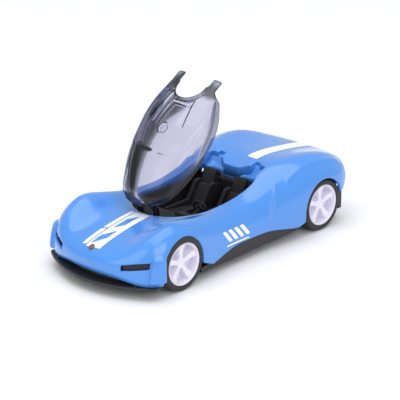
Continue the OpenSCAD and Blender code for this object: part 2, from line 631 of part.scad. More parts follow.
function tooth(teeth, at) =
    let (pitch = gear_m * teeth / 2, root = pitch - 1.25 * gear_m, base = pitch * cos(20), tip = pitch + 0.8 * gear_m,
         low = max(root, base), rs = [root, low, (low + pitch) / 2, pitch, (pitch + tip) / 2, tip],
         half = [for (r = rs) [r, tooth_half(teeth, max(r, base))]])
    concat([for (h = half) h[0] * [cos(at - h[1]), sin(at - h[1])]],
           [for (i = [5:-1:0]) half[i][0] * [cos(at + half[i][1]), sin(at + half[i][1])]]);

module gear_outline(teeth, turn) {
    polygon([for (i = [0:teeth - 1]) each tooth(teeth, turn + i * 360 / teeth)]);
}

// turn that puts a gap of the second gear on a tooth of the first
function meshed(from, to, teeth_a, turn_a, teeth_b) =
    let (line = atan2(to.y - from.y, to.x - from.x), phase = (line - turn_a) * teeth_a / 360)
    line + 180 - (0.5 - phase) * 360 / teeth_b;

compound_turn = meshed(axle_at, compound_at, pinion_teeth, 0, compound_teeth);
drum_turn = meshed(compound_at, drum_at, pinion_teeth, 0, drum_teeth);

module axle_pinion() {
    color(white) difference() {
        along_y(-4.4, -2.2) translate(axle_at) gear_outline(pinion_teeth, 0);
        rod_y(axle_at.x, axle_at.y, axle_r, -5, 0);
    }
}

module compound_gear() {
    color(white) difference() {
        union() {
            along_y(-4.2, -2.4) translate(compound_at) gear_outline(compound_teeth, compound_turn);
            along_y(-2.5, 0.1) translate(compound_at) gear_outline(pinion_teeth, 0);
            rod_y(compound_at.x, compound_at.y, 1.1, 0, 4.4);
        }
        rod_y(compound_at.x, compound_at.y, 0.55, -5, 5);
    }
}

module compound_arbor() {
    color(steel) rod_y(compound_at.x, compound_at.y, 0.5, -5.4, 5.4);
}

module spring_drum() {
    color(white) {
        along_y(-1.8, 0) translate(drum_at) gear_outline(drum_teeth, drum_turn);
        rod_y(drum_at.x, drum_at.y, 1.3, -4.4, 4.4);
        rod_y(drum_at.x, drum_at.y, 0.8, -5.4, 5.4);
    }
}

module mainspring() {
    step = 15;
    last = spring_turns * 360 / step;
    function r_at(i) = 1.75 + 2.55 * i / last;
    color(steel) along_y(0.7, 3.7) translate(drum_at)
        polygon(concat(
            [for (i = [0:last]) r_at(i) * [cos(i * step), sin(i * step)]],
            [for (i = [last:-1:0]) (r_at(i) + 0.22) * [cos(i * step), sin(i * step)]]));
}

motor_screw_at = [[-28.9, 11.2], [-17.4, 14.2]];

module case_outline(inset) {
    hull() {
        translate(axle_at) circle(3.2 - inset, $fn = 32);
        translate(compound_at) circle(4.9 - inset, $fn = 32);
        translate(drum_at) circle(5.6 - inset, $fn = 32);
    }
}

module motor_half(y0, y1, cavity0, cavity1) {
    difference() {
        union() {
            along_y(y0, y1) case_outline(0);
            for (p = motor_screw_at) rod_y(p.x, p.y, 1.3, y0, y1);
        }
        along_y(cavity0, cavity1) case_outline(case_wall);
        rod_y(axle_at.x, axle_at.y, axle_r + axle_gap, -7, 7);
        rod_y(compound_at.x, compound_at.y, 0.5, -5.4, 5.4);
        rod_y(drum_at.x, drum_at.y, 0.87, -5.4, 5.4);
        for (p = motor_screw_at) rod_y(p.x, p.y, 0.55, -5, 6);
        for (p = motor_screw_at) rod_y(p.x, p.y, 1, 4.8, 6);
    }
}

module motor_case_left() {
    color(white) {
        motor_half(0.3, 5.6, 0, 4.8);
        // post that holds the outer end of the mainspring
        rod_y(drum_at.x + 4.6, drum_at.y + 0.6, 0.25, 0.7, 5);
    }
}

module motor_case_right() {
    color(white) motor_half(-5.6, 0.3, -4.8, 1);
}

module motor_screws() {
    color(steel) for (p = motor_screw_at) {
        rod_y(p.x, p.y, 0.55, -4, 5);
        rod_y(p.x, p.y, 0.95, 4.8, 5.5);
    }
}

module chassis_screws() {
    color(steel) for (x = [front_screw_x, rear_screw_x]) {
        difference() {
            translate([x, 0, floor_z + 0.1]) cylinder(r = 1.45, h = 1, $fn = 48);
            translate([x - 0.9, -0.2, floor_z]) cube([1.8, 0.4, 0.5]);
            translate([x - 0.2, -0.9, floor_z]) cube([0.4, 1.8, 0.5]);
        }
        translate([x, 0, floor_z + 1]) cylinder(r = 0.7, h = 6, $fn = 32);
    }
}

body_shell();
canopy();
interior_tub();
steering_wheel();
chassis_base();
front_intake_insert();
front_axle();
rim_front_left();
rim_front_right();
rim_rear_left();
rim_rear_right();
tyre_front_left();
tyre_front_right();
tyre_rear_left();
tyre_rear_right();
rear_axle();
axle_pinion();
motor_case_left();
motor_case_right();
mainspring();
spring_drum();
compound_gear();
compound_arbor();
chassis_screws();
motor_screws();
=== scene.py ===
import math

import bmesh
import bpy
import numpy as np
from mathutils import Matrix, Vector


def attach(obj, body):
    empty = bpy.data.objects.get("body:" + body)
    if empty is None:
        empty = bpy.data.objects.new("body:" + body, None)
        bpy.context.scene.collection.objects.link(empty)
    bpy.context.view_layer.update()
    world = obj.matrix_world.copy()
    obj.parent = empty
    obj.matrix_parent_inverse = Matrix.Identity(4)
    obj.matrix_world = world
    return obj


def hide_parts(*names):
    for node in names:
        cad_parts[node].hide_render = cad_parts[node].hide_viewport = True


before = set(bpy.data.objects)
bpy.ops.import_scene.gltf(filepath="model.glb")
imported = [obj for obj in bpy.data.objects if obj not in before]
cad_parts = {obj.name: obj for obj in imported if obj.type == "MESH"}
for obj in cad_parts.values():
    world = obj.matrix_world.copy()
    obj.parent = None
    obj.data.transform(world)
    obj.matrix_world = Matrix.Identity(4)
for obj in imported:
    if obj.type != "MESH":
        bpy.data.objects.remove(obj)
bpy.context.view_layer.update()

MM = 0.001
FRONT_AXLE = (24.0, 6.6)
REAR_AXLE = (-26.5, 6.6)
HALF_TRACK = 17.4
HINGE = (24.6, 10.6)
CANOPY_OPEN = 41.8
BODY_WALL = 1.0
CANOPY_WALL = 0.8


# ---------------------------------------------------------------- skins
# Both curved skins are uniform cubic B-spline surfaces. Each row runs from
# the centreline to the left edge, and rows run from front to rear, in mm.

BODY_NET = [
    # lower lip of the nose
    [(37.9, 0, 4.7), (37.7, 4.2, 4.7), (36.9, 8.4, 4.6), (35.9, 11.7, 3.9),
     (34.5, 14.4, 3.4), (32.8, 16.5, 3.4), (30.2, 17.5, 3.4), (25.4, 17.6, 3.4)],
    [(38.7, 0, 5.6), (38.4, 4.2, 5.6), (37.6, 8.4, 5.6), (36.5, 11.7, 5.0),
     (35.0, 14.5, 4.6), (33.2, 16.7, 4.6), (30.5, 17.7, 4.4), (25.4, 17.7, 4.2)],
    # foremost part of the nose
    [(39.1, 0, 7.2), (38.7, 4.2, 7.2), (37.8, 8.4, 7.2), (36.5, 11.7, 7.0),
     (34.9, 14.4, 6.8), (33.0, 16.6, 6.6), (30.4, 17.8, 6.2), (25.4, 17.7, 5.4)],
    [(38.6, 0, 8.8), (38.2, 4.2, 8.8), (37.3, 8.4, 8.9), (35.9, 11.6, 9.2),
     (34.3, 14.2, 9.4), (32.4, 16.6, 9.0), (30.0, 17.8, 8.2), (25.4, 17.8, 6.6)],
    # start of the hood and the front wings
    [(36.6, 0, 10.2), (36.3, 4.2, 10.2), (35.6, 8.3, 10.4), (34.5, 11.2, 11.6),
     (33.2, 14.0, 12.1), (31.3, 16.5, 11.4), (29.0, 17.8, 9.8), (25.4, 17.9, 7.4)],
    [(33.2, 0, 11.1), (33.0, 4.2, 11.1), (32.5, 8.2, 11.5), (31.7, 10.9, 13.6),
     (30.7, 13.8, 14.6), (29.1, 16.4, 13.6), (27.4, 17.8, 11.2), (25.2, 17.9, 8.0)],
    [(28.8, 0, 12.1), (28.7, 4.3, 12.0), (28.4, 8.2, 12.4), (27.9, 10.8, 15.0),
     (27.3, 13.7, 16.2), (26.4, 16.2, 14.8), (25.6, 17.8, 12.2), (24.8, 17.9, 8.4)],
    # over the front axle
    [(24.2, 0, 12.8), (24.2, 4.5, 12.7), (24.1, 8.3, 12.9), (23.9, 10.8, 15.2),
     (23.6, 13.5, 16.4), (23.4, 16.0, 15.0), (23.3, 17.7, 12.4), (23.3, 17.8, 7.6)],
    # cowl ahead of the cockpit
    [(19.0, 0, 13.4), (19.0, 4.8, 13.2), (19.0, 8.6, 13.1), (19.0, 10.9, 14.6),
     (18.9, 13.2, 15.4), (18.8, 15.6, 14.2), (18.8, 17.3, 11.4), (18.8, 17.6, 6.0)],
    [(13.5, 0, 13.8), (13.5, 5.4, 13.6), (13.5, 9.2, 13.2), (13.5, 11.3, 13.8),
     (13.5, 13.2, 13.9), (13.5, 15.2, 12.8), (13.5, 16.7, 9.8), (13.5, 17.2, 3.4)],
    # along the doors
    [(7.5, 0, 14.0), (7.5, 5.8, 13.8), (7.5, 9.8, 13.2), (7.5, 11.6, 13.3),
     (7.5, 13.1, 13.1), (7.5, 14.8, 12.0), (7.5, 16.2, 9.0), (7.5, 16.9, 2.6)],
    [(1.0, 0, 14.2), (1.0, 6.0, 14.0), (1.0, 10.0, 13.5), (1.0, 11.8, 13.3),
     (1.0, 13.2, 12.9), (1.0, 14.8, 11.8), (1.0, 16.2, 8.8), (1.0, 16.8, 2.4)],
    [(-5.0, 0, 15.0), (-5.0, 5.8, 14.8), (-5.0, 9.8, 14.4), (-5.0, 11.8, 14.3),
     (-5.0, 13.4, 13.8), (-5.0, 15.1, 12.2), (-5.0, 16.4, 9.0), (-5.0, 16.9, 2.4)],
    [(-11.0, 0, 16.4), (-11.0, 5.4, 17.0), (-11.0, 9.2, 17.2), (-11.0, 11.8, 16.7),
     (-11.0, 13.9, 15.4), (-11.0, 15.8, 13.2), (-11.0, 17.0, 9.6), (-11.0, 17.2, 2.6)],
    # front of the rear deck
    [(-16.5, 0, 18.2), (-16.5, 5.0, 18.4), (-16.5, 8.8, 18.8), (-16.5, 11.8, 18.4),
     (-16.5, 14.4, 16.8), (-16.5, 16.6, 14.2), (-16.5, 17.7, 10.2), (-16.5, 17.6, 3.4)],
    [(-22.0, 0, 18.1), (-22.0, 4.8, 18.2), (-22.0, 8.6, 18.8), (-22.0, 12.0, 19.3),
     (-22.0, 14.9, 18.0), (-22.0, 17.2, 15.2), (-22.0, 18.2, 11.2), (-22.0, 17.9, 5.4)],
    # over the rear axle
    [(-27.5, 0, 17.4), (-27.5, 4.8, 17.6), (-27.5, 8.6, 18.3), (-27.5, 12.2, 19.2),
     (-27.5, 15.1, 18.2), (-27.5, 17.4, 15.5), (-27.5, 18.3, 11.8), (-27.5, 18.0, 7.0)],
    [(-32.5, 0, 16.7), (-32.5, 4.8, 16.8), (-32.5, 8.6, 17.4), (-32.4, 12.2, 18.0),
     (-32.3, 14.9, 17.1), (-32.1, 17.1, 14.7), (-31.9, 18.1, 11.4), (-31.6, 17.9, 7.6)],
    # tail lip
    [(-37.2, 0, 16.0), (-37.0, 4.8, 16.0), (-36.7, 8.6, 16.2), (-36.3, 12.0, 16.3),
     (-35.8, 14.6, 15.4), (-35.0, 16.7, 13.4), (-34.2, 17.6, 10.8), (-33.6, 17.4, 7.4)],
    [(-40.6, 0, 15.0), (-40.3, 4.8, 15.0), (-39.8, 8.6, 15.0), (-39.1, 12.0, 14.8),
     (-38.3, 14.4, 14.0), (-36.9, 16.2, 12.2), (-35.4, 17.1, 10.0), (-34.4, 16.9, 7.6)],
    # upright rear face
    [(-39.2, 0, 13.2), (-39.0, 4.8, 13.2), (-38.7, 8.6, 13.2), (-38.4, 12.0, 12.9),
     (-37.9, 14.3, 12.2), (-36.8, 16.0, 11.0), (-35.6, 16.8, 9.4), (-34.6, 16.6, 7.8)],
    [(-39.2, 0, 11.0), (-39.1, 4.8, 11.0), (-38.9, 8.6, 11.0), (-38.7, 12.0, 10.9),
     (-38.2, 14.2, 10.6), (-37.0, 15.8, 10.0), (-35.9, 16.4, 9.1), (-34.8, 16.2, 7.9)],
    [(-38.4, 0, 9.0), (-38.3, 4.8, 9.0), (-38.2, 8.6, 9.0), (-38.0, 12.0, 9.0),
     (-37.5, 14.0, 9.0), (-36.6, 15.4, 8.9), (-35.8, 15.9, 8.8), (-34.9, 15.8, 8.0)],
]

CANOPY_NET = [
    # front edge, down inside the cowl
    [(18.9, 0, 13.0), (18.8, 2.0, 13.0), (18.1, 4.1, 12.8), (17.1, 5.4, 12.7), (16.3, 6.4, 12.6)],
    [(18.2, 0, 14.3), (18.0, 2.4, 14.2), (17.0, 4.9, 13.9), (15.6, 6.9, 13.2), (14.8, 7.7, 12.4)],
    # windscreen
    [(15.8, 0, 15.9), (15.5, 2.9, 15.7), (14.4, 5.8, 15.0), (12.9, 8.0, 13.7), (12.2, 8.8, 12.3)],
    [(12.2, 0, 17.5), (11.9, 3.3, 17.3), (10.8, 6.5, 16.5), (9.5, 8.9, 14.8), (9.0, 9.5, 12.3)],
    [(8.0, 0, 18.8), (7.7, 3.5, 18.6), (6.9, 7.0, 17.8), (5.9, 9.5, 15.6), (5.5, 9.9, 12.3)],
    # roof
    [(3.5, 0, 19.7), (3.2, 3.6, 19.5), (2.6, 7.2, 18.8), (2.0, 9.8, 16.4), (1.6, 10.0, 12.4)],
    [(-1.0, 0, 20.2), (-1.2, 3.6, 20.0), (-1.6, 7.3, 19.3), (-2.0, 9.9, 17.0), (-2.4, 10.0, 12.9)],
    [(-5.0, 0, 20.0), (-5.2, 3.6, 19.9), (-5.4, 7.2, 19.3), (-5.8, 9.5, 17.4), (-6.0, 9.6, 13.8)],
    # tail of the canopy
    [(-8.6, 0, 19.6), (-8.8, 3.5, 19.5), (-9.0, 6.6, 19.0), (-9.0, 8.5, 17.7), (-9.0, 8.7, 15.2)],
    [(-12.2, 0, 18.9), (-12.2, 3.2, 18.9), (-12.2, 5.4, 18.7), (-12.2, 7.0, 18.2), (-12.2, 7.6, 17.2)],
]


class Skin:
    """A B-spline skin over the left half, mirrored about the centreline."""

    def __init__(self, net):
        net = np.array(net, float)
        ghost = net[:, 1] * (1, -1, 1)
        net = np.concatenate([ghost[:, None], net, (2 * net[:, -1] - net[:, -2])[:, None]], axis=1)
        self.net = np.concatenate([(2 * net[0] - net[1])[None], net, (2 * net[-1] - net[-2])[None]], axis=0)
        self.u_max = self.net.shape[0] - 3
        self.v_max = self.net.shape[1] - 3

    @staticmethod
    def _weights(t, slope):
        if slope:
            terms = [-(1 - t) ** 2, 3 * t ** 2 - 4 * t, -3 * t ** 2 + 2 * t + 1, t ** 2]
            return np.stack(terms, -1) / 2
        terms = [(1 - t) ** 3, 3 * t ** 3 - 6 * t ** 2 + 4, -3 * t ** 3 + 3 * t ** 2 + 3 * t + 1, t ** 3]
        return np.stack(terms, -1) / 6

    def _sum(self, u, v, slope_u, slope_v):
        i = np.clip(u.astype(int), 0, self.u_max - 1)
        j = np.clip(v.astype(int), 0, self.v_max - 1)
        wu = self._weights(u - i, slope_u)
        wv = self._weights(v - j, slope_v)
        out = np.zeros((len(u), 3))
        for a in range(4):
            for b in range(4):
                out += (wu[:, a] * wv[:, b])[:, None] * self.net[i + a, j + b]
        return out

    def points(self, u, v):
        return self._sum(u, v, False, False)

    def normals(self, u, v):
        n = np.cross(self._sum(u, v, False, True), self._sum(u, v, True, False))
        return n / np.linalg.norm(n, axis=1)[:, None]

    def at(self, x, y, guess):
        """Parameters of the point above or beside (x, y), by a few Newton steps from a guess."""
        u, v = (np.array([float(g)]) for g in guess)
        for _ in range(12):
            p = self.points(u, v)[0]
            du = self._sum(u, v, True, False)[0]
            dv = self._sum(u, v, False, True)[0]
            slopes = np.array([[du[0], dv[0]], [du[1], dv[1]]])
            step = np.linalg.lstsq(slopes, np.array([x - p[0], y - p[1]]), rcond=None)[0]
            u = np.clip(u + step[0], 0, self.u_max)
            v = np.clip(v + step[1], 0, self.v_max)
        return float(u[0]), float(v[0])


# one more row carries the two prongs behind the tail of the canopy
PRONG_ROOT = (2.4, 5.9, 40.6)  # middle of a prong root with the canopy open
PRONG_ROW = [(-15.6, 0, 18.2), (-15.6, 3.2, 18.2), (-15.6, 5.4, 18.0), (-15.6, 7.0, 17.7),
             (-15.6, 7.6, 17.2)]

body_skin = Skin(BODY_NET)
canopy_skin = Skin(CANOPY_NET + [PRONG_ROW])


def smooth(t):
    t = np.clip(t, 0, 1)
    return t * t * (3 - 2 * t)


def trimmed_grid(skin, us, vs, keep):
    """Cuts the skin's grid along keep = 0 and returns parameters and faces."""
    uu, vv = np.meshgrid(us, vs, indexing="ij")
    u = list(uu.ravel())
    v = list(vv.ravel())
    k = keep(skin.points(uu.ravel(), vv.ravel()))
    k = np.where(np.abs(k) < 0.02, 0.02, k)
    columns = len(vs)
    cuts = {}

    def cut(a, b):
        key = (min(a, b), max(a, b))
        if key not in cuts:
            s = k[key[0]] / (k[key[0]] - k[key[1]])
            u.append(u[key[0]] + s * (u[key[1]] - u[key[0]]))
            v.append(v[key[0]] + s * (v[key[1]] - v[key[0]]))
            cuts[key] = len(u) - 1
        return cuts[key]

    faces = []
    for i in range(len(us) - 1):
        for j in range(columns - 1):
            corners = (i * columns + j, i * columns + j + 1, (i + 1) * columns + j + 1, (i + 1) * columns + j)
            kept = [k[c] > 0 for c in corners]
            if all(kept):
                faces.append(corners)
            elif any(kept):
                face = []
                for n in range(4):
                    a, b = corners[n], corners[(n + 1) % 4]
                    if kept[n]:
                        face.append(a)
                    if kept[n] != kept[(n + 1) % 4]:
                        face.append(cut(a, b))
                faces.append(tuple(face))
    return np.array(u), np.array(v), faces


def welded(points, normals, faces, gap):
    """Merges points closer than gap and drops the faces that collapse."""
    cell = {}
    target = {}
    for n, key in enumerate(map(tuple, np.round(points / gap).astype(int))):
        target[n] = cell.setdefault(key, n)
    used = sorted({target[n] for face in faces for n in face})
    number = {n: i for i, n in enumerate(used)}
    out = []
    for face in faces:
        clean = []
        for n in face:
            m = number[target[n]]
            if m not in clean:
                clean.append(m)
        if len(clean) > 2:
            out.append(tuple(clean))
    return points[used], normals[used], out


def solid_sheet(points, normals, faces, wall, radius, drop=None):
    """Gives a left-half sheet a thickness and rounded rims, then mirrors it.

    drop(point) says how far below the rim its outer wall reaches straight down,
    for rims that show a deep edge; elsewhere the wall follows the skin's normal.
    """
    once = {}
    for face in faces:
        for a, b in zip(face, face[1:] + face[:1]):
            once[(a, b)] = True
    rim = [(a, b) for a, b in once if (b, a) not in once]
    rim = [(a, b) for a, b in rim if not (abs(points[a][1]) < 1e-6 and abs(points[b][1]) < 1e-6)]
    around = {}
    for a, b in rim:
        side = np.cross(points[b] - points[a], normals[a])
        for n in (a, b):
            around[n] = around.get(n, 0) + side
    for _ in range(3):
        soft = {n: 0.5 * d for n, d in around.items()}
        for a, b in rim:
            soft[a] = soft[a] + 0.25 * around[b]
            soft[b] = soft[b] + 0.25 * around[a]
        around = soft
    verts = [tuple(p) for p in points] + [tuple(p) for p in points - wall * normals]
    count = len(points)
    out = [tuple(face) for face in faces] + [tuple(count + n for n in reversed(face)) for face in faces]
    chain = {}
    for n, side in around.items():
        side = side / (np.linalg.norm(side) + 1e-12)
        if abs(points[n][1]) < 1e-6:
            side[1] = 0
        p, q = points[n], normals[n]
        steps = [p + radius * math.sin(a) * side - radius * (1 - math.cos(a)) * q
                 for a in (math.pi / 8, math.pi / 4, 3 * math.pi / 8, math.pi / 2)]
        deep = drop(p) if drop else 0
        if deep:
            steps.append(steps[-1] - np.array([0, 0, deep]))
            steps.append(steps[-1] - 0.8 * side)
        else:
            steps.append(p + radius * side - (wall - radius) * q)
        chain[n] = [n] + list(range(len(verts), len(verts) + len(steps))) + [count + n]
        verts += [tuple(s) for s in steps]
    for a, b in rim:
        ca, cb = chain[a], chain[b]
        if len(ca) == len(cb):
            for s in range(len(ca) - 1):
                out.append((ca[s], ca[s + 1], cb[s + 1], cb[s]))
        else:
            out.append(tuple(ca) + tuple(reversed(cb)))
    half = len(verts)
    verts += [(x, -y, z) for x, y, z in verts]
    out += [tuple(half + n for n in reversed(face)) for face in out]
    return verts, out


def make_mesh(name, verts, faces, materials, weld=0.004, flat=False, slots=None):
    """An object from points in mm, with its doubles merged and its normals outward."""
    mesh = bpy.data.meshes.new(name)
    mesh.from_pydata([(x * MM, y * MM, z * MM) for x, y, z in verts], [], faces)
    if slots:
        mesh.polygons.foreach_set("material_index", slots)
    bm = bmesh.new()
    bm.from_mesh(mesh)
    bmesh.ops.remove_doubles(bm, verts=bm.verts, dist=weld * MM)
    bmesh.ops.recalc_face_normals(bm, faces=bm.faces)
    bm.to_mesh(mesh)
    bm.free()
    for m in materials if isinstance(materials, (list, tuple)) else [materials]:
        mesh.materials.append(m)
    mesh.shade_smooth() if not flat else None
    piece = bpy.data.objects.new(name, mesh)
    bpy.context.scene.collection.objects.link(piece)
    return piece


def bevelled(piece, width, segments=3, angle=35):
    mod = piece.modifiers.new("edges", "BEVEL")
    mod.width = width * MM
    mod.segments = segments
    mod.limit_method = "ANGLE"
    mod.angle_limit = math.radians(angle)
    mod.harden_normals = False
    return piece


# ---------------------------------------------------------------- materials
def linear(r, g, b):
    """A colour given as 0-255 screen values, as the linear colour the shaders take."""
    parts = [c / 255 for c in (r, g, b)]
    return tuple(c / 12.92 if c < 0.0404 else ((c + 0.055) / 1.055) ** 2.4 for c in parts) + (1,)


def shader(name):
    """A new material with its Principled node, and a function that adds and links nodes."""
    mat = bpy.data.materials.new(name)
    mat.use_nodes = True
    tree = mat.node_tree
    principled = tree.nodes["Principled BSDF"]

    def add(kind, links=None, **values):
        node = tree.nodes.new(kind)
        for key, value in values.items():
            if hasattr(node, key):
                setattr(node, key, value)
            else:
                node.inputs[key.replace("_", " ")].default_value = value
        for socket, source in (links or {}).items():
            tree.links.new(source, node.inputs[socket])
        return node

    return mat, tree, principled, add


def surface(name, colour, roughness, speckle=0.06, grain=900, bump=0.02, coat=0.0, metallic=0.0, spread=0.08):
    """Colour that drifts a little over the piece, uneven gloss and a fine grain in the surface."""
    mat, tree, principled, add = shader(name)
    place = add("ShaderNodeTexCoord")
    drift = add("ShaderNodeTexNoise", {"Vector": place.outputs["Object"]}, Scale=90.0, Detail=3.0)
    fine = add("ShaderNodeTexNoise", {"Vector": place.outputs["Object"]}, Scale=float(grain), Detail=4.0)
    ramp = add("ShaderNodeValToRGB", {"Fac": drift.outputs["Fac"]})
    ramp.color_ramp.elements[0].position = 0.3
    ramp.color_ramp.elements[1].position = 0.7
    ramp.color_ramp.elements[0].color = tuple(c * (1 - speckle) for c in colour[:3]) + (1,)
    ramp.color_ramp.elements[1].color = tuple(min(1, c * (1 + speckle)) for c in colour[:3]) + (1,)
    gloss = add("ShaderNodeMapRange", {"Value": fine.outputs["Fac"]})
    gloss.inputs["To Min"].default_value = max(0.02, roughness - spread)
    gloss.inputs["To Max"].default_value = min(1, roughness + spread)
    relief = add("ShaderNodeBump", {"Height": fine.outputs["Fac"]}, Strength=0.25, Distance=bump * MM)
    tree.links.new(ramp.outputs["Color"], principled.inputs["Base Color"])
    tree.links.new(gloss.outputs["Result"], principled.inputs["Roughness"])
    tree.links.new(relief.outputs["Normal"], principled.inputs["Normal"])
    principled.inputs["Metallic"].default_value = metallic
    principled.inputs["Coat Weight"].default_value = coat
    principled.inputs["Coat Roughness"].default_value = 0.08
    return mat


def smoked_clear(name, tint, edge_tint):
    """Thin tinted plastic: it dims what is behind it, most where seen edge on."""
    mat, tree, principled, add = shader(name)
    place = add("ShaderNodeTexCoord")
    ripple = add("ShaderNodeTexNoise", {"Vector": place.outputs["Object"]}, Scale=120.0, Detail=2.0)
    relief = add("ShaderNodeBump", {"Height": ripple.outputs["Fac"]}, Strength=0.1, Distance=0.03 * MM)
    facing = add("ShaderNodeLayerWeight", Blend=0.5)
    ramp = add("ShaderNodeValToRGB", {"Fac": facing.outputs["Facing"]})
    ramp.color_ramp.elements[0].color = tint
    ramp.color_ramp.elements[0].position = 0.5
    ramp.color_ramp.elements[1].color = edge_tint
    ramp.color_ramp.elements[1].position = 0.98
    cloud = add("ShaderNodeMapRange", {"Value": ripple.outputs["Fac"]})
    cloud.inputs["To Min"].default_value = 0.97
    cloud.inputs["To Max"].default_value = 1.0
    # the thick roots of the two prongs are darker; the canopy is alike on both sides
    parts = add("ShaderNodeSeparateXYZ", {"Vector": place.outputs["Object"]})
    side = add("ShaderNodeMath", {0: parts.outputs["Y"]}, operation="ABSOLUTE")
    folded = add("ShaderNodeCombineXYZ", {"X": parts.outputs["X"], "Y": side.outputs["Value"],
                                          "Z": parts.outputs["Z"]})
    away = add("ShaderNodeVectorMath", {0: folded.outputs["Vector"]}, operation="DISTANCE")
    away.inputs[1].default_value = [n * MM for n in PRONG_ROOT]
    shade = add("ShaderNodeMapRange", {"Value": away.outputs["Value"]}, interpolation_type="SMOOTHSTEP")
    shade.inputs["From Min"].default_value = 1.2 * MM
    shade.inputs["From Max"].default_value = 3.0 * MM
    shade.inputs["To Min"].default_value = 0.45
    both = add("ShaderNodeMath", {0: cloud.outputs["Result"], 1: shade.outputs["Result"]},
               operation="MULTIPLY")
    tinted = add("ShaderNodeVectorMath", {0: ramp.outputs["Color"], "Scale": both.outputs["Value"]},
                 operation="SCALE")
    clear = add("ShaderNodeBsdfTransparent", {"Color": tinted.outputs["Vector"]})
    shine = add("ShaderNodeBsdfGlossy", {"Normal": relief.outputs["Normal"]}, Roughness=0.09)
    fresnel = add("ShaderNodeFresnel", IOR=1.42)
    mix = add("ShaderNodeMixShader", {0: fresnel.outputs["Fac"], 1: clear.outputs["BSDF"],
                                      2: shine.outputs["BSDF"]})
    tree.nodes.remove(principled)
    tree.links.new(mix.outputs["Shader"], tree.nodes["Material Output"].inputs["Surface"])
    return mat


blue = surface("blue_enamel", linear(74, 144, 228), 0.22, speckle=0.02, grain=700, bump=0.015,
               coat=0.6, spread=0.04)
white_print = surface("white_print", linear(243, 244, 252), 0.32, speckle=0.02, grain=1500, bump=0.006)
black = surface("black_plastic", linear(34, 33, 37), 0.42, speckle=0.12, grain=1100, bump=0.03)
# black plastic of the cabin, far darker than the black plastic elsewhere: partly its own colour, partly painted
# shade inside the cockpit
cabin_black_and_shade = surface("cabin_black_and_shade", linear(13, 12, 13), 0.75, speckle=0.2, grain=1300, bump=0.05)
rubber = surface("tyre_rubber", linear(44, 41, 43), 0.6, speckle=0.1, grain=1500, bump=0.04)
rim_white = surface("rim_white", linear(236, 232, 246), 0.34, speckle=0.02, grain=800, bump=0.01)
motor_white = surface("motor_white", linear(225, 224, 222), 0.45, speckle=0.04, grain=800, bump=0.02)
steel = surface("steel", linear(176, 178, 184), 0.28, speckle=0.08, grain=2200, bump=0.01, metallic=1.0)
spring_steel = surface("spring_steel", linear(120, 124, 132), 0.3, speckle=0.12, grain=2000, bump=0.01,
                       metallic=1.0)
amber = surface("badge_amber", linear(112, 66, 26), 0.3, speckle=0.35, grain=2500, bump=0.02, coat=0.5)
smoke_edge = smoked_clear("smoked_canopy_rim", (0.42, 0.44, 0.52, 1), (0.2, 0.21, 0.26, 1))
smoke = smoked_clear("smoked_canopy", (0.765, 0.76, 0.85, 1), (0.7, 0.7, 0.79, 1))


# ---------------------------------------------------------------- painted body
def box_gap(x, y, x0, x1, y0, y1, r):
    """Signed gap to a rectangle with rounded corners, positive outside it."""
    qx = np.maximum(x0 + r - x, x - x1 + r)
    qy = np.maximum(y0 + r - y, y - y1 + r)
    return np.hypot(np.maximum(qx, 0), np.maximum(qy, 0)) + np.minimum(np.maximum(qx, qy), 0) - r


def polygon_gap(points, x, y, r=0.0):
    """Signed gap to a convex outline given counter-clockwise, positive outside it."""
    gap = np.full(len(x), -1e9)
    for (ax, ay), (bx, by) in zip(points, points[1:] + points[:1]):
        length = math.hypot(bx - ax, by - ay)
        gap = np.maximum(gap, ((by - ay) * (x - ax) - (bx - ax) * (y - ay)) / length)
    return gap - r


def cockpit_gap(p):
    x, y = p[:, 0], p[:, 1]
    ahead = np.maximum(x - 8, 0) / 11.4
    behind = np.maximum(-6 - x, 0) / 7.8
    shape = ahead ** 2 + behind ** 3 + (y / 10.2) ** 2 - 1
    slope = np.hypot(2 * y / 10.2 ** 2, 2 * ahead / 11.4 + 3 * behind ** 2 / 7.8)
    tongue = -11.7 - x - 1.9 * smooth((np.abs(y) - 1.8) / 3.0)
    opening = np.maximum(shape / np.maximum(slope, 0.06), tongue)
    notch = box_gap(x, y, -14.5, -8.0, 4.6, 9.0, 0.9)
    slot = box_gap(x, y, -15.5, -12.0, 4.7, 6.8, 0.25)
    return np.minimum(opening, np.minimum(notch, slot))


def sill_z(x):
    return 3.5 + 2.2 * smooth((17 - x) / 14) - 2 * smooth((-5 - x) / 14)


def arch_gap(p, axle, r):
    dx = p[:, 0] - axle[0]
    dz = np.maximum(p[:, 2] - axle[1], 0)
    return np.where(p[:, 1] > 12, np.hypot(dx, dz) - r, 50)


def lower_gap(p):
    x, z = p[:, 0], p[:, 2]
    edge = np.where(x > FRONT_AXLE[0], -50, np.where(x < REAR_AXLE[0], 8.6, sill_z(x)))
    edge = np.where(p[:, 1] > 12, edge, -50)
    return np.minimum(z - edge, np.minimum(arch_gap(p, FRONT_AXLE, 6.95), arch_gap(p, REAR_AXLE, 7.25)))


INTAKE = [(9.2, 6.4), (15.6, 7.45), (15.6, 9.45), (12.5, 9.1), (9.2, 8.4)]


def intake_gap(p):
    gap = polygon_gap(INTAKE, p[:, 1], p[:, 2])
    return np.where(p[:, 0] > 29, gap, 50)


def body_keep(p):
    return np.minimum(np.minimum(cockpit_gap(p) - 0.12, intake_gap(p)), lower_gap(p))


def on_skin(skin, stops):
    """A smooth chain of surface points through (row, column) stops."""
    u, v = np.array(stops, float).T
    t = np.linspace(0, len(stops) - 1, 8 * (len(stops) - 1) + 1)
    return skin.points(np.interp(t, range(len(u)), u), np.interp(t, range(len(v)), v))


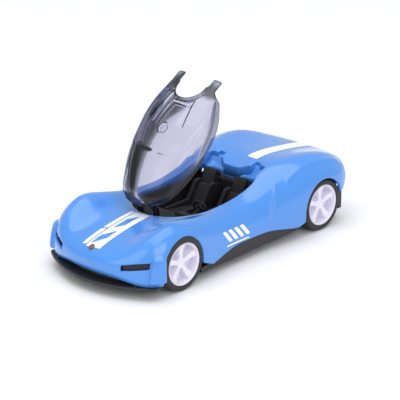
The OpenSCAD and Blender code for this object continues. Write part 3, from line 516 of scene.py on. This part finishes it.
def chain_gap(p, chain):
    """Distance from each point to a chain of points, and how far along the chain it falls, 0 to 1."""
    near = np.full(len(p), 1e9)
    place = np.zeros(len(p))
    for k, (a, b) in enumerate(zip(chain, chain[1:])):
        t = np.clip((p - a) @ (b - a) / ((b - a) @ (b - a)), 0, 1)
        gap = np.linalg.norm(p - a - t[:, None] * (b - a), axis=1)
        place = np.where(gap < near, (k + t) / (len(chain) - 1), place)
        near = np.minimum(near, gap)
    return near, place


def ridges(p, skin, lines):
    """Height of the raised or sunk lines near each point; they fade out at their ends."""
    height = np.zeros(len(p))
    for stops, rise, width in lines:
        gap, place = chain_gap(p, on_skin(skin, stops))
        fade = smooth(place / 0.12) * smooth((1 - place) / 0.12)
        height += rise * fade * np.exp(-(gap / width) ** 2)
    return height


BODY_LINES = [
    # hood to front wing, shoulder above the door, edge ahead of the rear wing, rear wing
    ([(4.3, 3.5), (4.65, 3.74), (5.26, 4.11), (5.97, 4.34), (7.0, 4.48), (7.9, 4.56)], 0.13, 0.6),
    ([(8.3, 5.15), (8.64, 5.01), (9.05, 4.86), (9.62, 4.44)], 0.10, 0.6),
    ([(13.2, 3.9), (13.04, 4.31), (12.85, 4.88), (12.55, 5.41), (12.33, 5.78), (12.2, 6.1)], 0.3, 0.5),
    ([(13.6, 4.4), (13.88, 4.26), (14.63, 3.99), (15.54, 4.06), (16.79, 4.13), (18.3, 4.04)], 0.28, 0.7),
]


def body_relief(p):
    """Raised lines, and the upright blade at each front corner."""
    x, y, z = p.T
    ahead_and_out = smooth((x - 30.0) / 1.0) * smooth((y - 15.5) / 0.3)
    blade = ahead_and_out * smooth((10.9 - z) / 1.2) * smooth((z - 3.9) / 0.8)
    return ridges(p, body_skin, BODY_LINES) + 0.9 * blade


def body_drop(p):
    if cockpit_gap(np.array([p]))[0] > 1.2 or p[2] < 12:
        return 0
    return max(1.0, min(2.6, p[2] - 12.2))


def shell(name, skin, us, vs, keep, material, wall, radius, drop=None, relief=None, edged=False):
    """A trimmed skin made solid: cut, raised lines added, rims rounded, mirrored.

    When edged is true, the rims take the second material.
    """
    u, v, faces = trimmed_grid(skin, us, vs, keep)
    points, normals = skin.points(u, v), skin.normals(u, v)
    points[v < 1e-6, 1] = 0
    points, normals, faces = welded(points, normals, faces, 0.02)
    if relief:
        points = points + relief(points)[:, None] * normals
    walls = 2 * len(faces)
    verts, faces = solid_sheet(points, normals, faces, wall, radius, drop)
    rim = len(faces) // 2 - walls
    slots = ([0] * walls + [int(edged)] * rim) * 2
    return make_mesh(name, verts, faces, material, slots=slots)


def decal(name, skin, u_span, v_span, keep, material, spacing=0.12, lift=0.035, side=1):
    """A printed patch lying on the skin, cut to the outline keep = 0."""
    us = np.arange(u_span[0], u_span[1], spacing / 3)
    vs = np.arange(v_span[0], v_span[1], spacing / 3)
    u, v, faces = trimmed_grid(skin, us, vs, keep)
    points, normals = skin.points(u, v), skin.normals(u, v)
    points, normals, faces = welded(points, normals, faces, 0.01)
    points = (points + lift * normals) * (1, side, 1)
    faces = [face if side > 0 else face[::-1] for face in faces]
    return make_mesh(name, points, faces, material, weld=0.002)


body = shell("body_paint", body_skin, np.linspace(0, body_skin.u_max, 397), np.linspace(0, body_skin.v_max, 141),
             body_keep, blue, BODY_WALL, 0.3, body_drop, body_relief)
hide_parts("body_shell")
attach(body, "car")


# step behind the seats: a ramp under each notch and a ledge along the front
STEP = [(-15.6, 15.6), (-15.6, 17.0), (-15.3, 17.15), (-14.7, 17.0), (-14.1, 16.5), (-13.4, 15.7),
        (-12.9, 15.2), (-12.4, 14.95), (-12.0, 14.85), (-11.75, 14.7), (-11.65, 14.4),
        (-11.65, 13.6), (-11.8, 13.35), (-12.2, 13.3)]


def step_piece():
    ys = np.linspace(-9.6, 9.6, 97)
    verts = []
    for y in ys:
        back = 0.75 * smooth((abs(y) - 1.5) / 3.0) - 0.45 * smooth((abs(y) - 6.5) / 2.5)
        for x, z in STEP:
            verts.append((x - back * smooth((x + 15.2) / 2.5), y, z))
    n = len(STEP)
    faces = [(i * n + j, i * n + j + 1, (i + 1) * n + j + 1, (i + 1) * n + j)
             for i in range(len(ys) - 1) for j in range(n - 1)]
    faces += [tuple(range(n)), tuple((len(ys) - 1) * n + j for j in reversed(range(n)))]
    faces += [(i * n, (i + 1) * n, (i + 1) * n + n - 1, i * n + n - 1) for i in range(len(ys) - 1)]
    return make_mesh("deck_step", verts, faces, blue)


step = step_piece()
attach(step, "car")

# ---------------------------------------------------------------- printed graphics
def slanted(x, y, x0, x1, y0, y1, lean, r=0.12):
    """Signed gap to a leaning box: its sides run along x and its ends lean with y."""
    return box_gap(x + lean * (y - (y0 + y1) / 2), y, x0, x1, y0, y1, r)


def hood_keep(sign):
    def keep(p):
        x, y = p[:, 0], sign * p[:, 1]
        stripe = slanted(x, y, 20.2, 36.4, -3.2, -2.1, 0.3)
        cut = slanted(x, y, 29.4, 29.9, -4, -1, 0.3)
        band = slanted(x, y, 20.0, 36.6, -1.8, 2.3, 0.1)
        windows = [slanted(x, y, 30.8, 34.3, -1.3, 1.0, 1.5), slanted(x, y, 22.6, 27.6, -1.0, 0.7, 1.5)]
        inside = np.minimum(np.maximum(stripe, -cut), np.maximum.reduce([band] + [-w for w in windows]))
        return -inside
    return keep


def door_keep(p):
    """Four leaning bars over a thin line."""
    x, z = p[:, 0], p[:, 2]
    bars = [slanted(x, z, start, start + 1.25, 6.9, 9.6, -0.75) for start in (0.9, 3.0, 5.1, 7.2)]
    line = slanted(x, z, 0.4, 8.6, 5.9, 6.25, -0.75, 0.08)
    return -np.minimum.reduce(bars + [line])


def deck_keep(sign):
    def keep(p):
        x, y = p[:, 0], sign * p[:, 1]
        low = 0.8 - 0.05 * (-17 - x)
        high = 4.2 - 0.03 * (-17 - x)
        ends = np.minimum(-16.9 - x + 0.12 * y, x + 38.6)
        return np.minimum(np.minimum(y - low, high - y), ends)
    return keep


# plain domed badge on the nose
def badge_piece():
    u, v = body_skin.at(36.7, 0.0, (3.84, 0.0))
    centre = body_skin.points(np.array([u]), np.array([0.0]))[0]
    normal = body_skin.normals(np.array([u]), np.array([0.0]))[0]
    side = np.array([0, 1.0, 0])
    along = np.cross(normal, side)
    verts = []
    faces = []
    rings = [(0.02, 0.32), (0.35, 0.31), (0.62, 0.25), (0.74, 0.2), (0.78, 0.28), (0.92, 0.28),
             (1.0, 0.16), (1.0, -0.3)]
    for k, (r, h) in enumerate(rings):
        for i in range(40):
            a = 2 * math.pi * i / 40
            q = centre + r * (0.68 * math.cos(a) * side + 0.88 * math.sin(a) * along) + h * normal
            verts.append(tuple(q))
            if k:
                n = (i + 1) % 40
                faces.append(((k - 1) * 40 + i, (k - 1) * 40 + n, k * 40 + n, k * 40 + i))
    faces.append(tuple(range(40)))
    return make_mesh("nose_badge", verts, faces, amber)


badge = badge_piece()
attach(badge, "car")

for side, tag in ((1, "left"), (-1, "right")):
    prints = [("hood", (3.4, 8.4), (0, 1.2), hood_keep(side)),
              ("deck", (13.4, 19.6), (0, 1.6), deck_keep(side)),
              ("door", (9.2, 11.6), (4.6, 6.7), door_keep)]
    pieces = [decal(f"{where}_print_{tag}", body_skin, rows, columns, keep, white_print, side=side)
              for where, rows, columns, keep in prints]
    for piece in pieces:
        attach(piece, "car")

# ---------------------------------------------------------------- canopy
CANOPY_LINES = [
    # edge of the roof panel, rib behind it
    ([(4.23, 0), (4.2, 0.8), (4.15, 1.59), (4.31, 2.18), (4.65, 2.47), (5.35, 2.65),
    (6.3, 2.7)], -0.2, 0.3),
    ([(5.7, 1.45), (6.4, 1.34), (7.35, 1.2), (8.1, 1.15)], 0.22, 0.24),
]


def canopy_relief(p):
    """Raised lines, a rim round the notch at the tail and a round mark on the roof."""
    x, y = p[:, 0], p[:, 1]
    rim = np.exp(-((y - notch_half(x) - 0.9) / 0.28) ** 2)
    rim = rim * smooth((-8.3 - x) / 1.0) * smooth((x + 11.0) / 1.0)
    front = np.exp(-((-6.9 - x) / 0.28) ** 2) * smooth((3.2 - y) / 1.0)
    ring = np.exp(-((np.hypot(x - 1.0, y) - 1.35) / 0.16) ** 2)
    return ridges(p, canopy_skin, CANOPY_LINES) + 0.2 * np.maximum(rim, front) + 0.05 * ring


def notch_half(x):
    t = np.clip((-7.6 - x) / 4.4, 0, 1)
    return np.where(x < -7.6, 4.4 * np.sqrt(1 - (1 - t) ** 2), -1.0)


def canopy_keep(p):
    x, y = p[:, 0], p[:, 1]
    outer = 8.9 - 2.3 * smooth((-9.2 - x) / 3.2)
    side_gap = np.where(x < -8.9, outer - y, 5.0)
    inner = np.where(x < -12.0, y - 4.4 - 0.5 * smooth((-12 - x) / 1.0), y - notch_half(x))
    return np.minimum(np.minimum(side_gap, inner), x + 14.9)


canopy = shell("canopy_clear", canopy_skin, np.linspace(0, canopy_skin.u_max, 340), np.linspace(0, 4, 151),
               canopy_keep, [smoke, smoke_edge], CANOPY_WALL, 0.25, None, canopy_relief, True)


def prism_y(name, outline, y0, y1, material, bevel=0.15):
    """An outline in x and z made solid from y0 to y1, with rounded edges."""
    n = len(outline)
    verts = [(x, y0, z) for x, z in outline] + [(x, y1, z) for x, z in outline]
    faces = [tuple(range(n)), tuple(range(2 * n - 1, n - 1, -1))]
    faces += [(i, (i + 1) % n, n + (i + 1) % n, n + i) for i in range(n)]
    piece = make_mesh(name, verts, faces, material, flat=True)
    return bevelled(piece, bevel) if bevel else piece


def lathe_y(name, profile, centre, y_sign, material, turns=96):
    """A turned piece about Y from (radius, distance outward) pairs, closed where the radius is 0."""
    verts = []
    for r, y in profile:
        for k in range(turns):
            a = 2 * math.pi * k / turns
            verts.append((centre[0] + r * math.cos(a), y_sign * y, centre[1] + r * math.sin(a)))
    faces = []
    for i in range(len(profile) - 1):
        for k in range(turns):
            n = (k + 1) % turns
            faces.append((i * turns + k, i * turns + n, (i + 1) * turns + n, (i + 1) * turns + k))
    return make_mesh(name, verts, faces, material)


ARM = [(24.9, 11.1), (24.3, 11.1), (20.7, 7.6), (18.7, 7.5), (17.7, 9.2), (17.9, 13.2),
       (17.1, 13.9), (16.6, 9.0), (18.0, 6.4), (21.1, 6.4), (25.1, 10.3)]
arms = [prism_y("canopy_arm_" + tag, ARM, s * 2.6 - 0.55, s * 2.6 + 0.55, smoke, 0.18)
        for s, tag in ((1, "l"), (-1, "r"))]
bar = lathe_y("canopy_bar", [(0.0, -6.3), (0.45, -6.3), (0.6, -6.15), (0.6, 6.15), (0.45, 6.3), (0.0, 6.3)],
              HINGE, 1, smoke, 48)
swing = (Matrix.Translation(Vector((HINGE[0] * MM, 0, HINGE[1] * MM)))
         @ Matrix.Rotation(math.radians(CANOPY_OPEN), 4, "Y")
         @ Matrix.Translation(Vector((-HINGE[0] * MM, 0, -HINGE[1] * MM))))
for piece in [canopy, bar] + arms:
    piece.data.transform(swing)
    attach(piece, "canopy")
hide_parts("canopy")


# ---------------------------------------------------------------- wheels
def rim_height(r, angle):
    """How far the face of the rim stands out along the axle, with five tapered spokes in a dish."""
    spoke = np.abs((angle / (2 * math.pi / 5) + 0.5) % 1 - 0.5) * (2 * math.pi / 5)
    aside = r * np.sin(spoke)
    half = 0.55 + 0.13 * (r - 1.4)
    rise = smooth((half - aside) / 0.24 + 0.5)
    pan = -3.3 + 0.5 * smooth((r - 3.2) / 1.4)
    hole = smooth((3.0 - r) / 0.5) * smooth((r - 1.45) / 0.25) * smooth((aside - half - 0.15) / 0.25)
    face = -1.15 + 0.4 * smooth((r - 3.2) / 1.4) - 0.12 * smooth((1.0 - r) / 0.3)
    hub = smooth((1.6 - r) / 0.3)
    rise = np.maximum(rise, hub)
    return pan + (face - pan) * rise - 1.3 * hole * (1 - hub)


def rim_piece(name, axle, side):
    turns = 240
    radii = np.concatenate([np.linspace(0.02, 4.62, 60)])
    lip = [(4.70, -0.9), (4.76, -0.45), (4.86, -0.22), (5.0, -0.14), (5.12, -0.2), (5.2, -0.34),
           (5.2, -0.8), (5.2, -4.4), (4.5, -4.4), (4.5, -3.6), (0.95, -3.6), (0.95, -4.4),
           (0.85, -4.4)]
    verts = []
    for r in radii:
        angle = np.arange(turns) * 2 * math.pi / turns
        height = rim_height(np.full(turns, r), angle - math.pi / 2)
        for a, h in zip(angle, height):
            verts.append((axle[0] + r * math.cos(a), side * (HALF_TRACK + h), axle[1] + r * math.sin(a)))
    for r, h in lip:
        for k in range(turns):
            a = 2 * math.pi * k / turns
            verts.append((axle[0] + r * math.cos(a), side * (HALF_TRACK + h), axle[1] + r * math.sin(a)))
    rings = len(radii) + len(lip)
    faces = [tuple(range(turns))]
    for i in range(rings - 1):
        for k in range(turns):
            n = (k + 1) % turns
            faces.append((i * turns + k, i * turns + n, (i + 1) * turns + n, (i + 1) * turns + k))
    piece = make_mesh(name, verts, faces, rim_white, weld=0.0005)
    piece.data.set_sharp_from_angle(angle=math.radians(50))
    return piece


TYRE = [(5.1, -0.5), (5.18, -0.3), (5.3, -0.14), (5.5, -0.03), (5.72, 0.0), (5.95, -0.05),
        (6.2, -0.16), (6.4, -0.34), (6.54, -0.6), (6.6, -0.95), (6.6, -1.5), (6.52, -1.56),
        (6.52, -1.7), (6.6, -1.76), (6.6, -3.0), (6.52, -3.06), (6.52, -3.2), (6.6, -3.26),
        (6.6, -3.9), (6.5, -4.3), (6.3, -4.6), (5.9, -4.78), (5.4, -4.78), (5.1, -4.5)]

for where, axle, rider in (("front", FRONT_AXLE, "front_wheels"), ("rear", REAR_AXLE, "rear_wheels")):
    for side, tag in ((1, "left"), (-1, "right")):
        rim = rim_piece(f"rim_{where}_{tag}_look", axle, side)
        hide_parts(f"rim_{where}_{tag}")
        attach(rim, rider)
        tyre = lathe_y(f"tyre_{where}_{tag}_look", [(r, HALF_TRACK + y) for r, y in TYRE], axle, side, rubber, 128)
        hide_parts(f"tyre_{where}_{tag}")
        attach(tyre, rider)


# ---------------------------------------------------------------- pieces kept from the CAD
def box_mesh(name, xs, ys, zs, side):
    """A small rounded block with its y values mirrored for the right side."""
    corners = [(x, y * side, z) for x in xs for y in ys for z in zs]
    faces = [(0, 1, 3, 2), (4, 6, 7, 5), (0, 4, 5, 1), (2, 3, 7, 6), (0, 2, 6, 4), (1, 5, 7, 3)]
    block = make_mesh(name, corners, [face if side > 0 else face[::-1] for face in faces], cabin_black_and_shade)
    bevelled(block, 0.25, 3, 30)
    return block


def softened(node, body_name, material, width=0.14):
    """A copy of a CAD piece with its edges eased, shown in its place."""
    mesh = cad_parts[node].data.copy()
    bm = bmesh.new()
    bm.from_mesh(mesh)
    bmesh.ops.remove_doubles(bm, verts=bm.verts, dist=0.002 * MM)
    bmesh.ops.dissolve_limit(bm, angle_limit=math.radians(1), verts=bm.verts, edges=bm.edges)
    bm.to_mesh(mesh)
    bm.free()
    mesh.materials.clear()
    mesh.materials.append(material)
    piece = bpy.data.objects.new(node + "_look", mesh)
    bpy.context.scene.collection.objects.link(piece)
    mesh.shade_smooth()
    mesh.set_sharp_from_angle(angle=math.radians(30))
    if width:
        bevelled(piece, width, 2, 30)
    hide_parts(node)
    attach(piece, body_name)
    return piece


# the tub and the wheel take the cabin black, which carries painted shade
softened("interior_tub", "car", cabin_black_and_shade, 0.2)
softened("steering_wheel", "car", cabin_black_and_shade, 0)
softened("chassis_base", "car", black, 0.12)
softened("front_intake_insert", "car", black, 0.08)


def behind_intake(p):
    """The inside of the bumper around one intake opening."""
    x, y, z = p.T
    return np.minimum(-polygon_gap([(8.0, 5.6), (16.6, 5.6), (16.6, 10.4), (8.0, 10.4)], y, z), x - 30.9)


for tag, side in (("left", 1), ("right", -1)):
    # dark backing that follows the inside of the bumper behind each intake
    backing = decal("intake_back_" + tag, body_skin, (1.0, 5.2), (2.4, 6.9), behind_intake, black,
                    0.9, -1.02, side)
    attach(backing, "car")

for tag, side in (("left", 1), ("right", -1)):
    # block beside the tub's rear wall that closes the gap out to the body
    wing = box_mesh("tub_side_" + tag, (-12.2, -11.4), (9.1, 14.2), (7.6, 12.0), side)
    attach(wing, "car")

FINISHES = {
    "front_axle": steel, "rear_axle": steel, "compound_arbor": steel, "chassis_screws": steel, "motor_screws": steel,
    "mainspring": spring_steel, "axle_pinion": motor_white, "compound_gear": motor_white,
    "spring_drum": motor_white, "motor_case_left": motor_white, "motor_case_right": motor_white,
}
for node, finish in FINISHES.items():
    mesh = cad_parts[node].data
    mesh.materials.clear()
    mesh.materials.append(finish)

# ---------------------------------------------------------------- set
floor_mat = surface("floor_paper", (0.92, 0.92, 0.93, 1), 0.85, speckle=0.01, grain=40, bump=0.0, spread=0.05)
bpy.ops.mesh.primitive_plane_add(size=6, location=(0, 0, 0))
floor = bpy.context.object
floor.name = "floor"
floor.data.materials.append(floor_mat)

bpy.context.scene.view_settings.view_transform = "Standard"
world = bpy.context.scene.world or bpy.data.worlds.new("studio")
bpy.context.scene.world = world
world.use_nodes = True
world.node_tree.nodes["Background"].inputs["Color"].default_value = (0.95, 0.97, 1.0, 1)
world.node_tree.nodes["Background"].inputs["Strength"].default_value = 0.62


def softbox(name, place, target, size, power):
    light = bpy.data.lights.new(name, "AREA")
    light.shape = "RECTANGLE"
    light.size, light.size_y = size
    light.energy = power
    lamp = bpy.data.objects.new(name, light)
    bpy.context.scene.collection.objects.link(lamp)
    lamp.location = place
    lamp.rotation_euler = (Vector(target) - Vector(place)).to_track_quat("-Z", "Y").to_euler()


softbox("top_light", (0.0, 0.0, 0.6), (0, 0, 0), (0.7, 0.7), 2.4)
softbox("left_light", (0.25, 0.6, 0.4), (0, 0, 0.01), (0.5, 0.4), 1.25)
softbox("front_light", (0.6, 0.0, 0.35), (0, 0, 0.01), (0.4, 0.4), 0.6)

# camera that looks down at the front left corner, as the photograph does
camera_data = bpy.data.cameras.new("photo_camera")
camera_data.lens = 183.57
camera_data.sensor_width = 36
camera_data.clip_start = 0.05
camera_data.clip_end = 10
camera = bpy.data.objects.new("photo_camera", camera_data)
bpy.context.scene.collection.objects.link(camera)
azimuth, elevation, roll = (math.radians(a) for a in (42.061, 21.482, 0.281))
level = math.cos(elevation)
back = Vector((math.cos(azimuth) * level, math.sin(azimuth) * level, math.sin(elevation)))
right = Vector((-math.sin(azimuth), math.cos(azimuth), 0))
up = back.cross(right)
right, up = (math.cos(roll) * right + math.sin(roll) * up, math.cos(roll) * up - math.sin(roll) * right)
camera_place = (0.3410903, 0.3080802, 0.1918442)
turn = Matrix((right, up, back)).transposed().to_4x4()
camera.matrix_world = Matrix.Translation(camera_place) @ turn
bpy.context.scene.camera = camera
